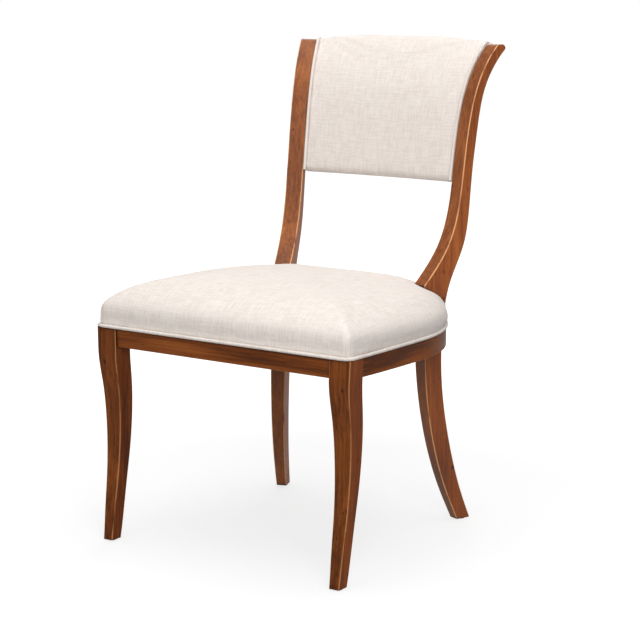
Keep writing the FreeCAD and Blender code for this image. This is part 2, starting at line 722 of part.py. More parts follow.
def back_welt():
    """Piping along the padded back's right end, up its front and over the roll.

    The surface meets the board's plane at a slant, so that the cord stands off further along it.
    """
    across = -POST_WIDTH - PANEL_SIDE_GAP - BACK_WELT_RADIUS
    stand_off = (BACK_WELT_RADIUS + BACK_WELT_GAP) / math.cos(math.radians(POST_PLAN_TURN))
    flat = [on_end(across, lambda x, z=z: V(x, panel_front_y(x, z), z)) for z in WELT_HEIGHTS]
    for turn in WELT_ROLL_TURNS:
        flat.append(on_end(across, lambda x, turn=turn: on_roll(roll_centre(x), PANEL_ROLL_RADIUS, turn)))
    path = []
    for before, point, after in zip(flat[:1] + flat, flat, flat[1:] + flat[-1:]):
        outward = (after - before).cross(X_AXIS).normalize()
        path.append(point - outward * stand_off)
    return place_post(tube(Part.Wire(arc_edges(arc_chain(path))), BACK_WELT_RADIUS))


# The whole chair
def glide(x, y):
    """A plastic disc under a foot, with its pin."""
    disc = Part.makeCylinder(GLIDE_RADIUS, GLIDE_THICKNESS, V(x, y, 0))
    pin = Part.makeCylinder(GLIDE_PIN_RADIUS, GLIDE_PIN_LENGTH, V(x, y, GLIDE_THICKNESS))
    return disc.fuse(pin).removeSplitter()


def build():
    """All pieces by name, in the drawing's own place."""
    nodes = {}
    leg = front_leg()
    post = rear_post()
    post_room = rear_post(softened=False)
    rooms = [post_room, mirrored(post_room)]
    ring = rail_ring()
    mid_rail_z = RAIL_BOTTOM + RAIL_HEIGHT / 2
    pair_z = (mid_rail_z - DOWEL_SPACING / 2, mid_rail_z + DOWEL_SPACING / 2)

    # Dowels: front rail to leg, side rail to leg, side rail to back rail, back rails to post
    half = DOWEL_LENGTH / 2
    leg_inner_x = LEG_FOOT_OUTER_X + mid_rail_z * math.tan(math.radians(LEG_LEAN_DEG)) - LEG_TOP_WIDTH
    front_y = FRONT_RAIL_SETBACK + RAIL_THICKNESS / 2
    side_x = SIDE_RAIL_START_X - RAIL_THICKNESS / 2
    back_y = SEAT_BACK_Y - RAIL_THICKNESS / 2
    leg_back_y = LEG_BACK_EDGE[-1][0]
    frame_pins = []
    for z in pair_z:
        frame_pins.append(rod((leg_inner_x - half, front_y, z), (1, 0, 0), DOWEL_LENGTH, DOWEL_RADIUS))
        frame_pins.append(rod((side_x, leg_back_y - half, z), (0, 1, 0), DOWEL_LENGTH, DOWEL_RADIUS))
        frame_pins.append(rod((REAR_JOINT_X - half, back_y, z), (1, 0, 0), DOWEL_LENGTH, DOWEL_RADIUS))
    back_pins = back_dowels()

    # Screws: corner blocks to leg and rail, seat board through the blocks, post to the frame
    block_mid_z = BLOCK_BOTTOM + BLOCK_HEIGHT / 2
    front_face, rear_face = front_block_face(), rear_block_face()
    block_screws = [(face_middle(front_face, block_mid_z), face_normal(front_face)),
                    (face_middle(rear_face, block_mid_z), face_normal(rear_face))]
    spots = [(front_face[1][0] - SEAT_SCREW_FROM_SIDE, front_face[0][1] + SEAT_SCREW_FROM_RAIL),
             (REAR_JOINT_X - SEAT_SCREW_FROM_JOINT, rear_face[1][1] - SEAT_SCREW_FROM_RAIL)]
    seat_screws = [((x, y, BLOCK_BOTTOM), (0, 0, 1)) for x, y in spots]
    sink_y = post_face_y(POST_SCREW_X, mid_rail_z) + POST_SCREW_SINK
    post_screws = [((POST_SCREW_X, sink_y, z), (0, 1, 0)) for z in pair_z]

    block_rooms = [screw_room(head, way, BLOCK_SCREW_LENGTH) for head, way in block_screws]
    seat_rooms = [screw_room(head, way, SEAT_SCREW_LENGTH) for head, way in seat_screws]
    post_rooms = [screw_room(head, way, POST_SCREW_LENGTH, SPARE) for head, way in post_screws]

    front_glide = glide(*front_foot_middle())
    rear_glide = glide(*rear_foot_middle())

    leg_done = cut_all(leg, frame_pins + block_rooms + [front_glide])
    post_done = cut_all(post, back_pins + post_rooms + block_rooms + [rear_glide])
    side = cut_all(side_rail(ring, leg, post_room), frame_pins + post_rooms)
    front = cut_all(front_rail(leg), both_sides(frame_pins))
    back = cut_all(back_rail(ring, post_room), both_sides(frame_pins + block_rooms))
    front_corner = cut_all(front_block(leg, ring), block_rooms + seat_rooms)
    rear_corner = cut_all(rear_block(post_room, ring), block_rooms + seat_rooms)
    side = cut_all(side, block_rooms)

    pairs = {"front_leg": leg_done, "rear_post": post_done, "side_rail": side,
             "front_corner_block": front_corner, "rear_corner_block": rear_corner}
    for name, right in pairs.items():
        nodes[name + "_right"] = right
        nodes[name + "_left"] = mirrored(right)
    nodes["front_rail"] = front
    nodes["back_rail"] = back
    nodes["frame_dowels"] = Part.makeCompound(both_sides(frame_pins))
    nodes["corner_block_screws"] = Part.makeCompound(
        both_sides([screw(head, way, BLOCK_SCREW_LENGTH) for head, way in block_screws]))
    nodes["seat_screws"] = Part.makeCompound(
        both_sides([screw(head, way, SEAT_SCREW_LENGTH) for head, way in seat_screws]))
    nodes["post_screws"] = Part.makeCompound(
        both_sides([screw(head, way, POST_SCREW_LENGTH) for head, way in post_screws]))
    nodes["foot_glides"] = Part.makeCompound(both_sides([front_glide, rear_glide]))

    # Seat
    all_seat_rooms = both_sides(seat_rooms)
    nodes["seat_board"] = seat_board(rooms + all_seat_rooms)
    nodes["dust_cover"] = dust_cover(rooms + both_sides([leg]) + [front] + all_seat_rooms)
    lengthwise, crosswise = straps()
    nodes["webbing_front_to_back"] = Part.makeCompound(lengthwise)
    nodes["webbing_side_to_side"] = Part.makeCompound(crosswise)
    outer = cushion_form(0)
    inner = cushion_form(COVER_THICKNESS)
    nodes["seat_cover"] = cut_all(outer, [inner] + rooms)
    nodes["seat_foam"] = cut_all(inner.common(above(STRAPS_TOP)), rooms)
    nodes["seat_welt"] = cut_all(seat_welt(), rooms)

    # Back
    space = between_stiles()
    lower_z = PANEL_BOTTOM_Z + LOWER_RAIL_LIFT
    board_low = lower_z + LOWER_RAIL_HEIGHT
    board_high = CREST_RAIL_TOP_Z - CREST_RAIL_HEIGHT
    all_back_pins = both_sides(back_pins)
    crest = panel_layer(FRAME_INSET, BACK_FRAME_THICKNESS, board_high, CREST_RAIL_TOP_Z, space)
    lower = panel_layer(FRAME_INSET, BACK_FRAME_THICKNESS, lower_z, board_low, space)
    board_inset = FRAME_INSET + (BACK_FRAME_THICKNESS - BACK_BOARD_THICKNESS) / 2
    board = panel_layer(board_inset, BACK_BOARD_THICKNESS, board_low, board_high, space)
    nodes["crest_rail"] = cut_all(crest, all_back_pins)
    nodes["lower_back_rail"] = cut_all(lower, all_back_pins)
    nodes["back_board"] = board
    nodes["back_dowels"] = Part.makeCompound(all_back_pins)
    padded = panel_form(0, space)
    pad = panel_form(COVER_THICKNESS, space)
    behind = panel_layer(FRAME_INSET + BACK_FRAME_THICKNESS / 2, 2 * PANEL_THICKNESS,
                         PANEL_BOTTOM_Z - SPARE, REAR_COVER_TOP_Z, above(0))
    shell = padded.cut(pad)
    wood = [crest, lower, board]
    nodes["back_front_cover"] = largest(shell.cut(behind))
    nodes["back_rear_cover"] = largest(shell.common(behind))
    nodes["back_front_padding"] = cut_all(pad.cut(behind), wood)
    nodes["back_rear_padding"] = cut_all(pad.common(behind), wood)
    nodes["back_welt_right"], nodes["back_welt_left"] = both_sides([back_welt()])
    return nodes


def export(nodes):
    """Moves the chair so that the origin is on the floor under its middle, and writes every piece."""
    whole = Part.makeCompound(list(nodes.values())).optimalBoundingBox(True, False)
    shift = V(-(whole.XMin + whole.XMax) / 2, -(whole.YMin + whole.YMax) / 2, -whole.ZMin)
    os.makedirs("parts", exist_ok=True)
    for name, shape in nodes.items():
        placed = shape.copy()
        placed.translate(shift)
        placed.exportStep("parts/" + name + ".step")
        print(name, len(placed.Solids), "solids,", round(placed.Volume), "mm3, valid", placed.isValid())
    print("moved by", [round(v, 2) for v in shift])
    print("size", round(whole.XLength, 1), round(whole.YLength, 1), round(whole.ZLength, 1))


if __name__ == "__main__":
    export(build())
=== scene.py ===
# %% [markdown]
# # A klismos dining chair
# The chair has sabre front legs, two rear posts that each run from the floor to a scrolled top in one
# sweep, a bowed seat frame, a sprung-looking linen seat and a padded back that rolls over at its top.
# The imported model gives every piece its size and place. This lesson dresses it: wood, linen, thread,
# cords, staples and screws. It starts by loading that model, and everything is in metres.

# %% Load the model
import math

import bmesh
import bpy
import numpy as np
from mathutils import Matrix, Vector
from mathutils.bvhtree import BVHTree


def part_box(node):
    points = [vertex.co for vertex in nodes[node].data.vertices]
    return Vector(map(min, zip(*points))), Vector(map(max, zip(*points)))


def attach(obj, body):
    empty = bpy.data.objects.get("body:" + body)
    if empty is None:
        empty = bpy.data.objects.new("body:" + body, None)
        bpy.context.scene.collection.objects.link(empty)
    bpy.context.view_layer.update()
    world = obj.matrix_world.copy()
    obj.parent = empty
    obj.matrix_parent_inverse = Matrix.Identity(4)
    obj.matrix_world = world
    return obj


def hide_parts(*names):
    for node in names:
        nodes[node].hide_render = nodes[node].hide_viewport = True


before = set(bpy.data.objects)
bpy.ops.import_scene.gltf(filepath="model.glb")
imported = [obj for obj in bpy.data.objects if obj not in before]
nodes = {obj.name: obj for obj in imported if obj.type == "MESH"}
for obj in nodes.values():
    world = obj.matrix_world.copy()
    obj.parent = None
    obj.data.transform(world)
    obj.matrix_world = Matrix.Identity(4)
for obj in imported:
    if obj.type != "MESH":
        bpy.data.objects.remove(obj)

MM = 0.001
scene = bpy.context.scene
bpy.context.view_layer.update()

# %% [markdown]
# ## The camera
# A catalogue photograph of a chair is taken with a long lens from a few metres away, a little above the
# seat, so that upright lines stay nearly upright. The camera here stands at that measured place. A
# camera's rotation is read as: tilt up from straight down, roll, then turn about the vertical.

# %% Camera
CAMERA_PLACE = (2.0267, -2.9580, 1.0793)
CAMERA_TURN = math.radians(34.37)
CAMERA_TILT_DOWN = math.radians(10.67)
CAMERA_ROLL = math.radians(-0.06)
LENS_MM = 106.5
SENSOR_MM = 36.0

camera = bpy.data.objects.new("camera", bpy.data.cameras.new("camera"))
scene.collection.objects.link(camera)
camera.data.lens = LENS_MM
camera.data.sensor_width = SENSOR_MM
camera.location = CAMERA_PLACE
camera.rotation_euler = (math.pi / 2 - CAMERA_TILT_DOWN, CAMERA_ROLL, CAMERA_TURN)
scene.camera = camera
scene.view_settings.view_transform = "Standard"
print("camera", [round(v, 3) for v in CAMERA_PLACE], "lens", LENS_MM)

# %% [markdown]
# ## A short way to write materials
# A material is a tree of nodes. Building one by hand takes many lines that say the same thing, so this
# helper holds the tree and adds a node, a noise or a colour ramp in one call each. A value that is the
# same all over is set on the shader's own socket, because other programs read it from there.

# %% Material helper
class Finish:
    """One material's node tree with short calls for the nodes that are used here."""

    def __init__(self, name):
        self.material = bpy.data.materials.new(name)
        self.material.use_nodes = True
        self.tree = self.material.node_tree
        self.tree.nodes.clear()
        self.skin = self.add("ShaderNodeBsdfPrincipled")
        output = self.add("ShaderNodeOutputMaterial")
        self.tree.links.new(self.skin.outputs[0], output.inputs[0])
        self.coordinates = self.add("ShaderNodeTexCoord")

    def add(self, kind, **settings):
        node = self.tree.nodes.new(kind)
        for key, value in settings.items():
            setattr(node, key, value)
        return node

    def put(self, socket, value):
        """Links an output to a socket, or sets the socket's own value."""
        if isinstance(value, bpy.types.NodeSocket):
            self.tree.links.new(value, socket)
        else:
            socket.default_value = value

    def stretched(self, scale, source="Object", turn=(0, 0, 0)):
        """The piece's own coordinates, stretched by a scale along each axis."""
        mapping = self.add("ShaderNodeMapping")
        self.put(mapping.inputs["Vector"], self.coordinates.outputs[source])
        mapping.inputs["Rotation"].default_value = turn
        mapping.inputs["Scale"].default_value = scale
        return mapping.outputs[0]

    def noise(self, scale, detail=3.0, distortion=0.0, source="Object", turn=(0, 0, 0)):
        noise = self.add("ShaderNodeTexNoise")
        self.put(noise.inputs["Vector"], self.stretched(scale, source, turn))
        noise.inputs["Scale"].default_value = 1.0
        noise.inputs["Detail"].default_value = detail
        noise.inputs["Distortion"].default_value = distortion
        return noise.outputs[0]

    def sum(self, operation, a, b=0.0):
        node = self.add("ShaderNodeMath", operation=operation)
        self.put(node.inputs[0], a)
        self.put(node.inputs[1], b)
        return node.outputs[0]

    def window(self, value, low, high, start=0.0, end=1.0):
        """A value that goes from start to end as the input goes from low to high."""
        node = self.add("ShaderNodeMapRange", interpolation_type="SMOOTHSTEP")
        for socket, entry in zip(node.inputs, (value, low, high, start, end)):
            self.put(socket, entry)
        return node.outputs[0]

    def ramp(self, value, stops):
        node = self.add("ShaderNodeValToRGB")
        self.put(node.inputs[0], value)
        while len(node.color_ramp.elements) < len(stops):
            node.color_ramp.elements.new(1.0)
        for element, (position, colour) in zip(node.color_ramp.elements, stops):
            element.position = position
            element.color = (*colour, 1.0)
        return node.outputs[0]

    def mix(self, share, a, b, blend_type="MIX"):
        node = self.add("ShaderNodeMix", data_type="RGBA", blend_type=blend_type)
        self.put(node.inputs[0], share)
        for socket, entry in ((node.inputs[6], a), (node.inputs[7], b)):
            self.put(socket, (*entry, 1.0) if isinstance(entry, tuple) else entry)
        return node.outputs[2]

    def bump(self, height, depth, normal=None):
        node = self.add("ShaderNodeBump")
        self.put(node.inputs["Height"], height)
        node.inputs["Distance"].default_value = depth
        if normal is not None:
            self.put(node.inputs["Normal"], normal)
        return node.outputs[0]

    def finish(self, colour, roughness, normal=None, **constants):
        self.put(self.skin.inputs["Base Color"], (*colour, 1.0) if isinstance(colour, tuple) else colour)
        self.put(self.skin.inputs["Roughness"], roughness)
        if normal is not None:
            self.put(self.skin.inputs["Normal"], normal)
        for key, value in constants.items():
            self.skin.inputs[key.replace("_", " ").title().replace("Ior", "IOR")].default_value = value
        return self.material


def paint(target, material):
    """Gives an object one material in all its slots."""
    mesh = target.data
    if len(mesh.materials) == 0:
        mesh.materials.append(material)
    for slot in target.material_slots:
        slot.material = material


print("helpers", Finish.__name__, paint.__name__)

# %% [markdown]
# ## Stained hardwood
# The show wood is a close-grained hardwood with a warm brown stain and a satin lacquer. Its corners
# and joints are darkened by an occlusion mask. That darkening is partly a glaze left there and partly
# painted shade. The maker rubs the stain through along each arris, so the edges read as thin pale lines.
# Long streaks follow the board, so the noise is stretched along the grain, and each board has its own
# direction. The rubbed edge is found from the surface itself: on a rounded arris the normal lies between
# the two faces, so its part along the board's width is neither 0 nor 1. A few small dark marks come from
# a sparse noise. The side faces are painted brighter and more orange than the fronts, which is painted
# light. The wood is painted darker towards the feet, which is painted shade. Two tones are a guess: in
# the picture the side faces look more orange than the fronts, and the wood looks deeper towards the
# feet. Both may be its light and not its stain.

# %% Stain colours
STAIN_DARK = (0.090, 0.024, 0.0065)
STAIN_MID = (0.250, 0.070, 0.0155)
STAIN_LIGHT = (0.430, 0.140, 0.0370)
RUBBED_EDGE = (0.820, 0.400, 0.1700)
# Painted light: this tint is multiplied into the side faces, so they read brighter and more orange than
# the fronts.
PAINTED_SIDE_LIGHT_TINT = (1.22, 1.02, 0.72)
# A dark colour for the small marks and for the corner darkening. The corner darkening is partly glaze
# and partly painted shade.
GLAZE_AND_PAINTED_SHADE = (0.026, 0.008, 0.0030)
# Painted shade: the stain's level rises from the foot level at the floor to the crest level at the crest
# height, so the wood is darker towards the feet.
PAINTED_SHADE_FOOT_LEVEL = 0.38
PAINTED_SHADE_CREST_LEVEL = 0.55
CREST_HEIGHT = 0.9
print("stain from", STAIN_DARK, "to", STAIN_LIGHT)


# %% Stained wood
def along_grain(grain, across, along):
    """Noise scales in cycles per metre: fine across the grain and long along it."""
    return tuple(along if axis == grain else across for axis in "XYZ")


def wood(name, grain, width_axis, tone, rubbed, gloss=0.08):
    """Stained wood: tone shifts the stain, rubbed is the strength of the worn edges."""
    finish = Finish(name)
    broad = finish.noise(along_grain(grain, 22, 3.5), 2.0, 0.6)
    streak = finish.noise(along_grain(grain, 210, 6), 4.0, 0.25)
    fibre = finish.noise(along_grain(grain, 900, 24), 2.0)
    fleck = finish.noise(along_grain(grain, 620, 70), 2.0)
    shade = finish.sum("MULTIPLY", finish.sum("SUBTRACT", broad, 0.5), 0.95)
    shade = finish.sum("ADD", shade, finish.sum("MULTIPLY", finish.sum("SUBTRACT", streak, 0.5), 0.85))
    shade = finish.sum("ADD", shade, finish.sum("MULTIPLY", finish.sum("SUBTRACT", fibre, 0.5), 0.35))
    # Painted shade: the wood gets darker towards the feet, by height.
    height = finish.add("ShaderNodeSeparateXYZ")
    finish.put(height.inputs[0], finish.coordinates.outputs["Object"])
    shade = finish.sum("ADD", shade, finish.window(height.outputs["Z"], 0.0, CREST_HEIGHT,
                                                   PAINTED_SHADE_FOOT_LEVEL + tone, PAINTED_SHADE_CREST_LEVEL + tone))
    colour = finish.ramp(shade, [(0.12, STAIN_DARK), (0.5, STAIN_MID), (0.9, STAIN_LIGHT)])
    pores = finish.window(fleck, 0.60, 0.70, 0.0, 0.55)
    colour = finish.mix(pores, colour, STAIN_DARK)
    marks = finish.window(finish.noise(along_grain(grain, 130, 60), 1.0), 0.73, 0.77, 0.0, 0.85)
    colour = finish.mix(marks, colour, GLAZE_AND_PAINTED_SHADE)

    width_part = finish.add("ShaderNodeVectorMath", operation="DOT_PRODUCT")
    finish.put(width_part.inputs[0], finish.coordinates.outputs["Normal"])
    width_part.inputs[1].default_value = width_axis
    lean = finish.sum("ABSOLUTE", width_part.outputs["Value"])
    # Painted light: the side faces are tinted brighter and more orange than the fronts.
    colour = finish.mix(finish.window(lean, 0.6, 0.98, 0.0, 0.75), colour, PAINTED_SIDE_LIGHT_TINT, "MULTIPLY")
    edge = finish.sum("MULTIPLY", finish.window(lean, 0.12, 0.4),
                      finish.window(lean, 0.88, 0.993, 1.0, 0.0))
    patchy = finish.window(finish.noise(along_grain(grain, 60, 11), 3.0), 0.28, 0.52)
    colour = finish.mix(finish.sum("MULTIPLY", finish.sum("MULTIPLY", edge, patchy), rubbed),
                        colour, RUBBED_EDGE)

    # Partly glaze, partly painted shade: an occlusion mask darkens corners, joints and recesses.
    corner = finish.add("ShaderNodeAmbientOcclusion", samples=8)
    corner.inputs["Distance"].default_value = 9 * MM
    glaze_and_painted_shade_share = finish.window(corner.outputs["AO"], 0.45, 0.95, 0.8, 0.0)
    colour = finish.mix(glaze_and_painted_shade_share, colour, GLAZE_AND_PAINTED_SHADE)

    rough = finish.window(streak, 0.3, 0.7, 0.44, 0.58)
    normal = finish.bump(finish.sum("ADD", streak, pores), 0.12 * MM)
    return finish.finish(colour, rough, normal, specular_ior_level=gloss)


# %% Stain the show wood
POST_PLAN_TURN = math.radians(21.0)
LEG_WIDTH_AXIS = (1.0, 0.0, 0.0)
RAIL_WIDTH_AXIS = (0.0, 0.0, 1.0)
POST_WIDTH_AXES = {"right": (math.cos(POST_PLAN_TURN), -math.sin(POST_PLAN_TURN), 0.0),
                   "left": (math.cos(POST_PLAN_TURN), math.sin(POST_PLAN_TURN), 0.0)}
for hand, post_axis in POST_WIDTH_AXES.items():
    paint(nodes["front_leg_" + hand], wood("leg_wood_" + hand, "Z", LEG_WIDTH_AXIS, -0.15, 0.4))
    paint(nodes["rear_post_" + hand], wood("post_wood_" + hand, "Z", post_axis, 0.02, 0.9, 0.34))
    paint(nodes["side_rail_" + hand], wood("side_rail_wood_" + hand, "Y", RAIL_WIDTH_AXIS, -0.17, 0.25))
for name in ("front_rail", "back_rail"):
    paint(nodes[name], wood(name + "_wood", "X", RAIL_WIDTH_AXIS, -0.08, 0.25))
print("stained pieces", sum("wood" in m.name for m in bpy.data.materials))

# %% [markdown]
# ## Plain inside wood, plywood and hidden pieces
# Under the seat the maker leaves wood bare: glue blocks, dowels and the plywood ring. They are pale,
# with the same stretched noise but a weak contrast. Plywood shows its layers at its edge, which is a
# wave along its thickness.

# %% Plain woods
BARE_DARK = (0.43, 0.27, 0.14)
BARE_LIGHT = (0.66, 0.48, 0.29)
PLY_GLUE = (0.20, 0.11, 0.05)
PLY_WAVE = 130.0


def bare_wood(name, grain, layers=False):
    finish = Finish(name)
    streak = finish.noise(along_grain(grain, 170, 7), 4.0, 0.4)
    colour = finish.ramp(streak, [(0.3, BARE_DARK), (0.7, BARE_LIGHT)])
    if layers:
        stripes = finish.add("ShaderNodeTexWave", bands_direction="Z")
        finish.put(stripes.inputs["Vector"], finish.coordinates.outputs["Object"])
        stripes.inputs["Scale"].default_value = PLY_WAVE
        colour = finish.mix(finish.window(stripes.outputs[1], 0.75, 0.95, 0.0, 0.6), colour, PLY_GLUE)
    return finish.finish(colour, 0.72, finish.bump(streak, 0.15 * MM))


block_wood = bare_wood("block_wood", "X")
for name in nodes:
    is_block = "block_" in name and "screws" not in name
    if is_block or "dowels" in name or name in ("crest_rail", "lower_back_rail"):
        paint(nodes[name], block_wood)
paint(nodes["seat_board"], bare_wood("plywood", "X", layers=True))
paint(nodes["back_board"], nodes["seat_board"].data.materials[0])
print("bare woods", block_wood.name, nodes["seat_board"].data.materials[0].name)

# %% [markdown]
# ## Linen
# The cover is an oatmeal linen: a plain weave whose threads vary in thickness, so it shows short
# pale and dark slubs both ways. The threads follow the cloth and not the chair, so the pattern reads a
# UV map in real metres that each cushion gets later. Two stretched noises make the slubs, a fine wave
# each way makes the threads, and a soft cloudiness keeps a big surface from looking printed.

# %% Linen material
LINEN_PALE = (0.850, 0.785, 0.735)
LINEN_DARK = (0.600, 0.515, 0.450)
THREADS_PER_METRE = 1500
WAVE_SCALE = THREADS_PER_METRE / 20 * math.pi


def linen(name, source="UV", dark=0.0):
    finish = Finish(name)
    weft = finish.noise((70, 1100, 1), 3.0, source=source)
    warp = finish.noise((1100, 70, 1), 3.0, source=source)
    coarse_weft = finish.noise((22, 300, 1), 2.0, source=source)
    coarse_warp = finish.noise((300, 22, 1), 2.0, source=source)
    cloud = finish.noise((60, 60, 60), 3.0)
    slub = finish.sum("ADD", finish.sum("ADD", weft, warp), finish.sum("ADD", coarse_weft, coarse_warp))
    slub = finish.sum("ADD", slub, finish.sum("MULTIPLY", cloud, 0.4))
    share = finish.window(slub, 1.75, 2.65, 0.5 + dark, 0.0)
    colour = finish.mix(share, LINEN_PALE, LINEN_DARK)
    threads = []
    for direction in ("X", "Y"):
        wave = finish.add("ShaderNodeTexWave", bands_direction=direction)
        finish.put(wave.inputs["Vector"], finish.coordinates.outputs[source])
        wave.inputs["Scale"].default_value = WAVE_SCALE
        threads.append(wave.outputs[1])
    halves = [finish.sum("MULTIPLY", thread, 0.5) for thread in threads]
    weave = finish.sum("ADD", *halves)
    height = finish.sum("ADD", weave, slub)
    return finish.finish(colour, 0.9, finish.bump(height, 0.10 * MM), specular_ior_level=0.2,
                         sheen_weight=0.15, sheen_roughness=0.5)


linen_cloth = linen("linen")
welt_cloth = linen("linen_welt", source="Object", dark=0.05)
print("linens", linen_cloth.name, welt_cloth.name)

# %% [markdown]
# ## From CAD solids to one soft body
# The upholstered seat is a stack: plywood, webbing, foam and cover. From outside it reads as one soft
# body. A voxel remesh melts the stack into one closed skin of even squares, which is also what cloth
# simulation needs. The remesh keeps only the outside: slivers left between the layers are dropped.

# %% Melt CAD nodes into one skin
SEAT_VOXEL = 5.5 * MM
BACK_VOXEL = 4.0 * MM
MERGE = 0.01 * MM


def evaluated_mesh(target):
    return bpy.data.meshes.new_from_object(target.evaluated_get(bpy.context.evaluated_depsgraph_get()))


def new_object(name, mesh):
    made = bpy.data.objects.new(name, mesh)
    scene.collection.objects.link(made)
    return made


def merged_copy(source):
    """A copy of a CAD node's mesh with its loose corners merged."""
    skin = bmesh.new()
    skin.from_mesh(nodes[source].data)
    bmesh.ops.remove_doubles(skin, verts=skin.verts, dist=MERGE)
    mesh = bpy.data.meshes.new("merged")
    skin.to_mesh(mesh)
    skin.free()
    return mesh


def islands(skin):
    """The corners of each connected piece of a bmesh, the largest last."""
    left, found = set(skin.verts), []
    while left:
        stack = [left.pop()]
        island = set(stack)
        while stack:
            for edge in stack.pop().link_edges:
                for vert in edge.verts:
                    if vert in left:
                        left.remove(vert)
                        island.add(vert)
                        stack.append(vert)
        found.append(island)
    return sorted(found, key=len)


def keep_largest(mesh):
    """Deletes all but the largest connected piece of a mesh."""
    skin = bmesh.new()
    skin.from_mesh(mesh)
    small = islands(skin)[:-1]
    bmesh.ops.delete(skin, geom=[vert for island in small for vert in island], context="VERTS")
    skin.to_mesh(mesh)
    skin.free()


def melted(name, sources, voxel, filler=()):
    """One closed soft skin round CAD nodes and filler boxes, in even squares."""
    skin = bmesh.new()
    for source in sources:
        skin.from_mesh(merged_copy(source))
    for low, high in filler:
        for vert in bmesh.ops.create_cube(skin, size=1.0)["verts"]:
            vert.co = [a + (b - a) * (c + 0.5) for a, b, c in zip(low, high, vert.co)]
    mesh = bpy.data.meshes.new(name)
    skin.to_mesh(mesh)
    skin.free()
    body = new_object(name, mesh)
    remesh = body.modifiers.new("remesh", "REMESH")
    remesh.mode = "VOXEL"
    remesh.voxel_size = voxel
    body.data = evaluated_mesh(body)
    body.modifiers.clear()
    keep_largest(body.data)
    print(name, "corners", len(body.data.vertices))
    return body


# %% The two cushions
board_low, board_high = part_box("seat_board")
seat_middle = (board_low + board_high) / 2
FILLER_SHARE = 0.66
FILLER_RISE = 5 * MM
filler_half = (board_high - board_low) * FILLER_SHARE / 2
filler_top = board_high.z + FILLER_RISE
seat_filler = [((seat_middle.x - filler_half.x, seat_middle.y - filler_half.y, board_low.z),
                (seat_middle.x + filler_half.x, seat_middle.y + filler_half.y, filler_top))]
seat = melted("seat_cushion", ["seat_cover", "seat_foam", "seat_board"], SEAT_VOXEL, seat_filler)
back = melted("back_cushion", ["back_front_cover", "back_rear_cover", "back_front_padding",
                               "back_rear_padding", "crest_rail", "lower_back_rail", "back_board"],
              BACK_VOXEL)

# %% [markdown]
# ## Stuffing the pads
# Foam under a tight cover swells a little between the places where the cover is fixed. A cloth
# simulation with air pressure inside and no gravity gives that swell: the skin starts slightly smaller,
# the tacked edge is pinned, twenty frames blow it up, and no point may move further than a cap. Then one
# subdivision rounds the squares off, and what pokes into the wood is laid against it.

# %% Blow up and smooth a pad
NO_MOVE = 1e-9
CLOTH_STIFFNESS = 20.0
TAKE_IN = 1.2 * MM
EASE_HEIGHT = 14 * MM
PRESSURE = 4.0
CLOTH_FRAMES = 20


def points_of(mesh):
    flat = np.empty(len(mesh.vertices) * 3)
    mesh.vertices.foreach_get("co", flat)
    return flat.reshape(-1, 3)


def set_points(mesh, points):
    mesh.vertices.foreach_set("co", points.ravel())
    mesh.update()


def stuff(pad, tacked, free_from, cap):
    """Blows a pad up with cloth pressure; tacked(points) says which corners stay.

    Below the height free_from the skin keeps its size, so that it goes on covering its frame."""
    mesh = pad.data
    start = points_of(mesh)
    held = tacked(start)
    normals = np.array([vert.normal for vert in mesh.vertices])
    ease = np.clip((start[:, 2] - free_from) / EASE_HEIGHT, 0.0, 1.0) * ~held
    start = start - normals * TAKE_IN * ease[:, None]
    set_points(mesh, start)
    group = pad.vertex_groups.new(name="tacked")
    group.add([int(i) for i in np.flatnonzero(held)], 1.0, "ADD")
    cloth = pad.modifiers.new("cloth", "CLOTH")
    cloth.settings.vertex_group_mass = "tacked"
    cloth.settings.use_pressure = True
    cloth.settings.uniform_pressure_force = PRESSURE
    cloth.settings.effector_weights.gravity = 0.0
    cloth.settings.tension_stiffness = CLOTH_STIFFNESS
    cloth.settings.compression_stiffness = CLOTH_STIFFNESS
    for number in range(1, CLOTH_FRAMES + 1):
        scene.frame_set(number)
    blown = points_of(evaluated_mesh(pad))
    scene.frame_set(1)
    pad.modifiers.clear()
    pad.vertex_groups.clear()
    move = blown - start
    length = np.maximum(np.linalg.norm(move, axis=1, keepdims=True), NO_MOVE)
    set_points(mesh, start + move * np.minimum(1.0, cap / length))
    print(pad.name, "swelled up to", round(float(length.max()) * 1000, 1), "mm, capped at", cap * 1000)


def smooth(pad, rounds):
    """Evens the skin out and gives it one subdivision."""
    even = pad.modifiers.new("even", "SMOOTH")
    even.factor = 0.5
    even.iterations = rounds
    finer = pad.modifiers.new("finer", "SUBSURF")
    finer.levels = finer.render_levels = 1
    mesh = evaluated_mesh(pad)
    pad.modifiers.clear()
    pad.data = mesh
    for polygon in mesh.polygons:
        polygon.use_smooth = True


def tree_of(mesh):
    return BVHTree.FromPolygons([v.co for v in mesh.vertices], [p.vertices for p in mesh.polygons])


def lay_against(pad, sources, gap):
    """Moves the corners of a pad that are inside CAD nodes, or too close, out to a gap."""
    mesh = pad.data
    points = points_of(mesh)
    moved = 0
    for source in sources:
        surface = tree_of(merged_copy(source))
        low, high = (np.array(corner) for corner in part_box(source))
        near = np.all((points > low - gap) & (points < high + gap), axis=1)
        for i in np.flatnonzero(near):
            spot, normal, _, _ = surface.find_nearest(Vector(points[i]))
            depth = (Vector(points[i]) - spot).dot(normal)
            if depth < gap:
                points[i] = spot + normal * gap
                moved += 1
    set_points(mesh, points)
    print(pad.name, "laid against the wood:", moved, "corners")


def round_under(pad, low, height, depth):
    """Draws the front of a pad back towards its bottom edge, where the cover turns under."""
    points = points_of(pad.data)
    facing = np.array([max(0.0, -vert.normal.y) for vert in pad.data.vertices])
    near = np.clip(1.0 - (points[:, 2] - low) / height, 0.0, 1.0)
    points[:, 1] += depth * near ** 2 * facing
    set_points(pad.data, points)
    print(pad.name, "rounded under over", round(height * 1000), "mm")


